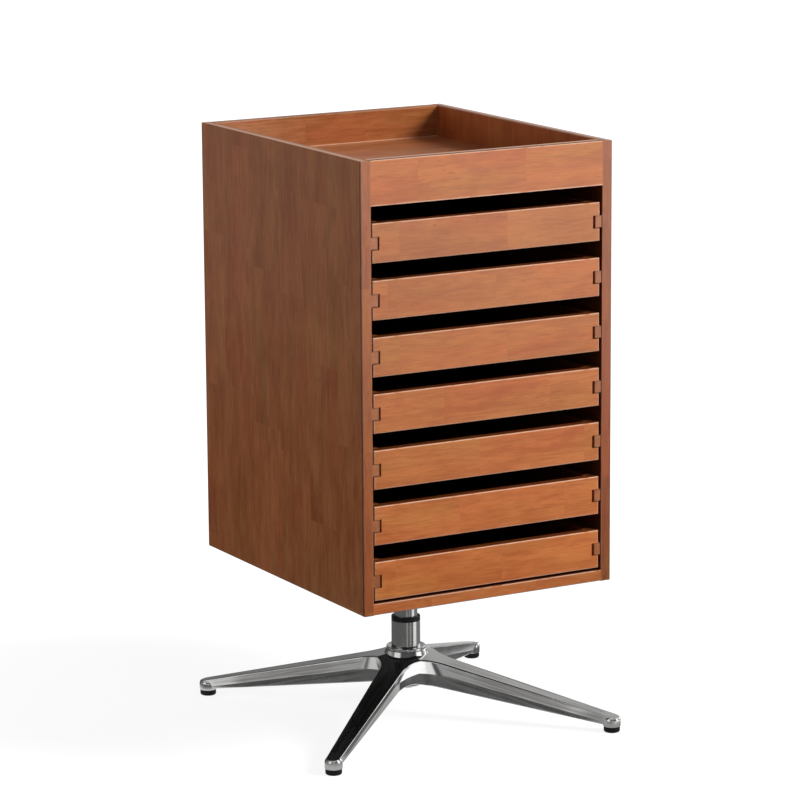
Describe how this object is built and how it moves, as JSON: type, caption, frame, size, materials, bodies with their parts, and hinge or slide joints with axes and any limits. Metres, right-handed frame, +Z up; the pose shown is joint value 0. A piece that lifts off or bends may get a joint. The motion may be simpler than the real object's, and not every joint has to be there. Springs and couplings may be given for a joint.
{
  "type": "rotary filing cabinet",
  "caption": "Wooden cabinet of shallow open trays on side runners, with a recessed top, turning on a column over a polished cast star base.",
  "frame": {"origin": "on the floor, on the swivel axis, at the middle of the four glides", "axes": "+Z up along the swivel axis, the trays open towards -Y at rest, +X to the right as seen from the front"},
  "size_m": [0.491, 0.491, 0.854],
  "materials": {
    "case_wood": "satin lacquer over reddish-brown stain",
    "tray_wood": "satin lacquer over reddish-brown stain",
    "runner_wood": "stained hardwood, waxed",
    "plywood": "sanded birch plywood",
    "beech": "bare beech",
    "polished_alloy": "mirror polished casting",
    "chromed_steel": "bright chrome",
    "bearing_steel": "ground steel, greased",
    "zinc_steel": "zinc plated",
    "black_steel": "black powder coat",
    "black_plastic": "moulded black plastic",
    "black_rubber": "moulded black rubber"
  },
  "bodies": {
    "base": {"base_casting": "polished_alloy", "column_tube": "chromed_steel", "column_flange": "polished_alloy", "upper_bush": "black_plastic", "lower_bush": "black_plastic", "bearing_race_lower": "bearing_steel", "bearing_balls": "bearing_steel", "ball_cage": "black_plastic", "glide_pads": "black_rubber", "glide_studs": "zinc_steel"},
    "cabinet": {"side_panel_left": "case_wood", "side_panel_right": "case_wood", "bottom_panel": "case_wood", "back_panel": "case_wood", "front_rail": "case_wood", "top_tray_floor": "case_wood", "runners_1": "runner_wood", "runners_2": "runner_wood", "runners_3": "runner_wood", "runners_4": "runner_wood", "runners_5": "runner_wood", "runners_6": "runner_wood", "runners_7": "runner_wood", "runner_screws": "zinc_steel", "carcass_dowels": "beech", "mounting_plate": "black_steel", "plate_screws": "zinc_steel", "swivel_tube": "chromed_steel", "spindle_plug": "bearing_steel", "bearing_race_upper": "bearing_steel", "retaining_washer": "zinc_steel", "circlip": "zinc_steel"},
    "tray_1": {"tray_front_1": "tray_wood", "tray_sides_1": "tray_wood", "tray_back_1": "tray_wood", "tray_bottom_1": "plywood"},
    "tray_2": {"tray_front_2": "tray_wood", "tray_sides_2": "tray_wood", "tray_back_2": "tray_wood", "tray_bottom_2": "plywood"},
    "tray_3": {"tray_front_3": "tray_wood", "tray_sides_3": "tray_wood", "tray_back_3": "tray_wood", "tray_bottom_3": "plywood"},
    "tray_4": {"tray_front_4": "tray_wood", "tray_sides_4": "tray_wood", "tray_back_4": "tray_wood", "tray_bottom_4": "plywood"},
    "tray_5": {"tray_front_5": "tray_wood", "tray_sides_5": "tray_wood", "tray_back_5": "tray_wood", "tray_bottom_5": "plywood"},
    "tray_6": {"tray_front_6": "tray_wood", "tray_sides_6": "tray_wood", "tray_back_6": "tray_wood", "tray_bottom_6": "plywood"},
    "tray_7": {"tray_front_7": "tray_wood", "tray_sides_7": "tray_wood", "tray_back_7": "tray_wood", "tray_bottom_7": "plywood"}
  },
  "joints": [
    {"name": "cabinet_swivel", "type": "hinge", "parent": "base", "child": "cabinet", "pos_m": [0, 0, 0], "axis": [0, 0, 1], "continuous": true},
    {"name": "tray_slide_1", "type": "slide", "parent": "cabinet", "child": "tray_1", "axis": [0, -1, 0], "range_m": [0, 0.3]},
    {"name": "tray_slide_2", "type": "slide", "parent": "cabinet", "child": "tray_2", "axis": [0, -1, 0], "range_m": [0, 0.3]},
    {"name": "tray_slide_3", "type": "slide", "parent": "cabinet", "child": "tray_3", "axis": [0, -1, 0], "range_m": [0, 0.3]},
    {"name": "tray_slide_4", "type": "slide", "parent": "cabinet", "child": "tray_4", "axis": [0, -1, 0], "range_m": [0, 0.3]},
    {"name": "tray_slide_5", "type": "slide", "parent": "cabinet", "child": "tray_5", "axis": [0, -1, 0], "range_m": [0, 0.3]},
    {"name": "tray_slide_6", "type": "slide", "parent": "cabinet", "child": "tray_6", "axis": [0, -1, 0], "range_m": [0, 0.3]},
    {"name": "tray_slide_7", "type": "slide", "parent": "cabinet", "child": "tray_7", "axis": [0, -1, 0], "range_m": [0, 0.3]}
  ]
}
